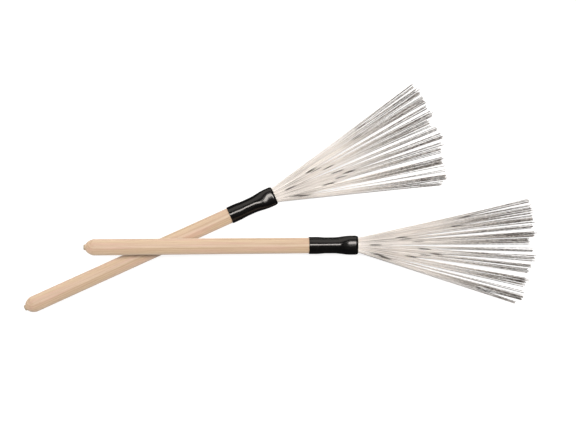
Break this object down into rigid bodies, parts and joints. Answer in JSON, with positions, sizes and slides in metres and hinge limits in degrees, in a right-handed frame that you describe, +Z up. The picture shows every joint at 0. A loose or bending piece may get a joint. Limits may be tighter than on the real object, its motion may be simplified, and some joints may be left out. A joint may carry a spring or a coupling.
{
  "type": "wire drum brushes",
  "caption": "Fixed wire brushes with turned wooden handles, black sleeves and sprung fans of steel wire, laid crossed for playing soft drum strokes.",
  "frame": {"origin": "centre of the pair's bounding box in plan, on the surface that the brushes lie on", "axes": "+X along the upper brush's handle towards its wire tips, +Z up from the surface, +Y across, with the lower brush pointing 24 degrees from +X towards +Y"},
  "size_m": [0.4084, 0.1818, 0.0302],
  "materials": {
    "handle_wood": "thin satin lacquer over pale straight-grained wood",
    "sleeve_vinyl": "glossy black dipped vinyl",
    "ferrule_steel": "drawn tube",
    "pin_steel": "plain",
    "resin": "cast amber resin",
    "spring_wire": "bright drawn spring wire"
  },
  "bodies": {
    "lower_brush": {"lower_handle": "handle_wood", "lower_ferrule": "ferrule_steel", "lower_anchor_pin": "pin_steel", "lower_resin_plug": "resin", "lower_wire_pack": "spring_wire", "lower_sleeve": "sleeve_vinyl"},
    "lower_tuft_01": {"lower_wire_tuft_01": "spring_wire"},
    "lower_tuft_02": {"lower_wire_tuft_02": "spring_wire"},
    "lower_tuft_03": {"lower_wire_tuft_03": "spring_wire"},
    "lower_tuft_04": {"lower_wire_tuft_04": "spring_wire"},
    "lower_tuft_05": {"lower_wire_tuft_05": "spring_wire"},
    "lower_tuft_06": {"lower_wire_tuft_06": "spring_wire"},
    "lower_tuft_07": {"lower_wire_tuft_07": "spring_wire"},
    "lower_tuft_08": {"lower_wire_tuft_08": "spring_wire"},
    "lower_tuft_09": {"lower_wire_tuft_09": "spring_wire"},
    "lower_tuft_10": {"lower_wire_tuft_10": "spring_wire"},
    "lower_tuft_11": {"lower_wire_tuft_11": "spring_wire"},
    "lower_tuft_12": {"lower_wire_tuft_12": "spring_wire"},
    "lower_tuft_13": {"lower_wire_tuft_13": "spring_wire"},
    "lower_tuft_14": {"lower_wire_tuft_14": "spring_wire"},
    "upper_brush": {"upper_handle": "handle_wood", "upper_ferrule": "ferrule_steel", "upper_anchor_pin": "pin_steel", "upper_resin_plug": "resin", "upper_wire_pack": "spring_wire", "upper_sleeve": "sleeve_vinyl"},
    "upper_tuft_01": {"upper_wire_tuft_01": "spring_wire"},
    "upper_tuft_02": {"upper_wire_tuft_02": "spring_wire"},
    "upper_tuft_03": {"upper_wire_tuft_03": "spring_wire"},
    "upper_tuft_04": {"upper_wire_tuft_04": "spring_wire"},
    "upper_tuft_05": {"upper_wire_tuft_05": "spring_wire"},
    "upper_tuft_06": {"upper_wire_tuft_06": "spring_wire"},
    "upper_tuft_07": {"upper_wire_tuft_07": "spring_wire"},
    "upper_tuft_08": {"upper_wire_tuft_08": "spring_wire"},
    "upper_tuft_09": {"upper_wire_tuft_09": "spring_wire"},
    "upper_tuft_10": {"upper_wire_tuft_10": "spring_wire"},
    "upper_tuft_11": {"upper_wire_tuft_11": "spring_wire"},
    "upper_tuft_12": {"upper_wire_tuft_12": "spring_wire"},
    "upper_tuft_13": {"upper_wire_tuft_13": "spring_wire"},
    "upper_tuft_14": {"upper_wire_tuft_14": "spring_wire"}
  },
  "joints": [
    {"name": "upper_lift", "type": "slide", "parent": "lower_brush", "child": "upper_brush", "axis": [0, 0, 1], "range_m": [0, 0.1]},
    {"name": "lower_flex_01", "type": "hinge", "parent": "lower_brush", "child": "lower_tuft_01", "pos_m": [0.0109, 0.01975, 0.00615], "axis": [0.5912, -0.8065, -0.0027], "range_deg": [-30, 30], "stiffness_Nm_per_rad": 0.04302},
    {"name": "lower_flex_02", "type": "hinge", "parent": "lower_brush", "child": "lower_tuft_02", "pos_m": [0.01166, 0.01806, 0.00615], "axis": [0.5564, -0.8309, -0.0021], "range_deg": [-30, 30], "stiffness_Nm_per_rad": 0.12906},
    {"name": "lower_flex_03", "type": "hinge", "parent": "lower_brush", "child": "lower_tuft_03", "pos_m": [0.01258, 0.01604, 0.00615], "axis": [0.5192, -0.8547, -0.0016], "range_deg": [-30, 30], "stiffness_Nm_per_rad": 0.10755},
    {"name": "lower_flex_04", "type": "hinge", "parent": "lower_brush", "child": "lower_tuft_04", "pos_m": [0.01326, 0.01454, 0.00615], "axis": [0.485, -0.8745, -0.001], "range_deg": [-30, 30], "stiffness_Nm_per_rad": 0.04302},
    {"name": "lower_flex_05", "type": "hinge", "parent": "lower_brush", "child": "lower_tuft_05", "pos_m": [0.01385, 0.01323, 0.00615], "axis": [0.4504, -0.8928, -0.0005], "range_deg": [-30, 30], "stiffness_Nm_per_rad": 0.0717},
    {"name": "lower_flex_06", "type": "hinge", "parent": "lower_brush", "child": "lower_tuft_06", "pos_m": [0.01453, 0.01172, 0.00615], "axis": [0.4207, -0.9072, -0.0001], "range_deg": [-30, 30], "stiffness_Nm_per_rad": 0.10755},
    {"name": "lower_flex_07", "type": "hinge", "parent": "lower_brush", "child": "lower_tuft_07", "pos_m": [0.01525, 0.01013, 0.00615], "axis": [0.3801, -0.9249, 0.0005], "range_deg": [-30, 30], "stiffness_Nm_per_rad": 0.04302},
    {"name": "lower_flex_08", "type": "hinge", "parent": "lower_brush", "child": "lower_tuft_08", "pos_m": [0.01592, 0.00866, 0.00615], "axis": [0.3391, -0.9407, 0.001], "range_deg": [-30, 30], "stiffness_Nm_per_rad": 0.08604},
    {"name": "lower_flex_09", "type": "hinge", "parent": "lower_brush", "child": "lower_tuft_09", "pos_m": [0.01652, 0.00734, 0.00615], "axis": [0.305, -0.9523, 0.0015], "range_deg": [-30, 30], "stiffness_Nm_per_rad": 0.04302},
    {"name": "lower_flex_10", "type": "hinge", "parent": "lower_brush", "child": "lower_tuft_10", "pos_m": [0.01701, 0.00624, 0.00615], "axis": [0.2786, -0.9604, 0.0018], "range_deg": [-30, 30], "stiffness_Nm_per_rad": 0.0717},
    {"name": "lower_flex_11", "type": "hinge", "parent": "lower_brush", "child": "lower_tuft_11", "pos_m": [0.018, 0.00405, 0.00615], "axis": [0.2227, -0.9749, 0.0026], "range_deg": [-30, 30], "stiffness_Nm_per_rad": 0.1434},
    {"name": "lower_flex_12", "type": "hinge", "parent": "lower_brush", "child": "lower_tuft_12", "pos_m": [0.01881, 0.00227, 0.00615], "axis": [0.175, -0.9846, 0.0032], "range_deg": [-30, 30], "stiffness_Nm_per_rad": 0.02151},
    {"name": "lower_flex_13", "type": "hinge", "parent": "lower_brush", "child": "lower_tuft_13", "pos_m": [0.01938, 0.00101, 0.00615], "axis": [0.1399, -0.9902, 0.0036], "range_deg": [-30, 30], "stiffness_Nm_per_rad": 0.08604},
    {"name": "lower_flex_14", "type": "hinge", "parent": "lower_brush", "child": "lower_tuft_14", "pos_m": [0.01998, -0.00031, 0.00615], "axis": [0.1056, -0.9944, 0.004], "range_deg": [-30, 30], "stiffness_Nm_per_rad": 0.03585},
    {"name": "upper_flex_01", "type": "hinge", "parent": "upper_brush", "child": "upper_tuft_01", "pos_m": [0.08332, -0.02763, 0.01116], "axis": [0.2134, -0.9769, -0.0111], "range_deg": [-30, 30], "stiffness_Nm_per_rad": 0.04302},
    {"name": "upper_flex_02", "type": "hinge", "parent": "upper_brush", "child": "upper_tuft_02", "pos_m": [0.08333, -0.02948, 0.01116], "axis": [0.1718, -0.9851, -0.0089], "range_deg": [-30, 30], "stiffness_Nm_per_rad": 0.12906},
    {"name": "upper_flex_03", "type": "hinge", "parent": "upper_brush", "child": "upper_tuft_03", "pos_m": [0.08335, -0.0317, 0.01116], "axis": [0.1282, -0.9917, -0.0065], "range_deg": [-30, 30], "stiffness_Nm_per_rad": 0.10755},
    {"name": "upper_flex_04", "type": "hinge", "parent": "upper_brush", "child": "upper_tuft_04", "pos_m": [0.08336, -0.03334, 0.01116], "axis": [0.089, -0.996, -0.0044], "range_deg": [-30, 30], "stiffness_Nm_per_rad": 0.04302},
    {"name": "upper_flex_05", "type": "hinge", "parent": "upper_brush", "child": "upper_tuft_05", "pos_m": [0.08337, -0.03478, 0.01116], "axis": [0.05, -0.9987, -0.0023], "range_deg": [-30, 30], "stiffness_Nm_per_rad": 0.0717},
    {"name": "upper_flex_06", "type": "hinge", "parent": "upper_brush", "child": "upper_tuft_06", "pos_m": [0.08339, -0.03644, 0.01116], "axis": [0.017, -0.9999, -0.0005], "range_deg": [-30, 30], "stiffness_Nm_per_rad": 0.10755},
    {"name": "upper_flex_07", "type": "hinge", "parent": "upper_brush", "child": "upper_tuft_07", "pos_m": [0.0834, -0.03818, 0.01116], "axis": [-0.0272, -0.9996, 0.0019], "range_deg": [-30, 30], "stiffness_Nm_per_rad": 0.04302},
    {"name": "upper_flex_08", "type": "hinge", "parent": "upper_brush", "child": "upper_tuft_08", "pos_m": [0.08341, -0.03979, 0.01116], "axis": [-0.071, -0.9975, 0.0043], "range_deg": [-30, 30], "stiffness_Nm_per_rad": 0.08604},
    {"name": "upper_flex_09", "type": "hinge", "parent": "upper_brush", "child": "upper_tuft_09", "pos_m": [0.08342, -0.04125, 0.01116], "axis": [-0.1068, -0.9943, 0.0062], "range_deg": [-30, 30], "stiffness_Nm_per_rad": 0.04302},
    {"name": "upper_flex_10", "type": "hinge", "parent": "upper_brush", "child": "upper_tuft_10", "pos_m": [0.08343, -0.04245, 0.01116], "axis": [-0.1342, -0.9909, 0.0077], "range_deg": [-30, 30], "stiffness_Nm_per_rad": 0.0717},
    {"name": "upper_flex_11", "type": "hinge", "parent": "upper_brush", "child": "upper_tuft_11", "pos_m": [0.08345, -0.04486, 0.01116], "axis": [-0.1911, -0.9815, 0.0107], "range_deg": [-30, 30], "stiffness_Nm_per_rad": 0.1434},
    {"name": "upper_flex_12", "type": "hinge", "parent": "upper_brush", "child": "upper_tuft_12", "pos_m": [0.08347, -0.04682, 0.01116], "axis": [-0.2386, -0.971, 0.0133], "range_deg": [-30, 30], "stiffness_Nm_per_rad": 0.02151},
    {"name": "upper_flex_13", "type": "hinge", "parent": "upper_brush", "child": "upper_tuft_13", "pos_m": [0.08348, -0.04819, 0.01116], "axis": [-0.2728, -0.9619, 0.0152], "range_deg": [-30, 30], "stiffness_Nm_per_rad": 0.08604},
    {"name": "upper_flex_14", "type": "hinge", "parent": "upper_brush", "child": "upper_tuft_14", "pos_m": [0.08349, -0.04964, 0.01116], "axis": [-0.3059, -0.9519, 0.0169], "range_deg": [-30, 30], "stiffness_Nm_per_rad": 0.03585}
  ]
}
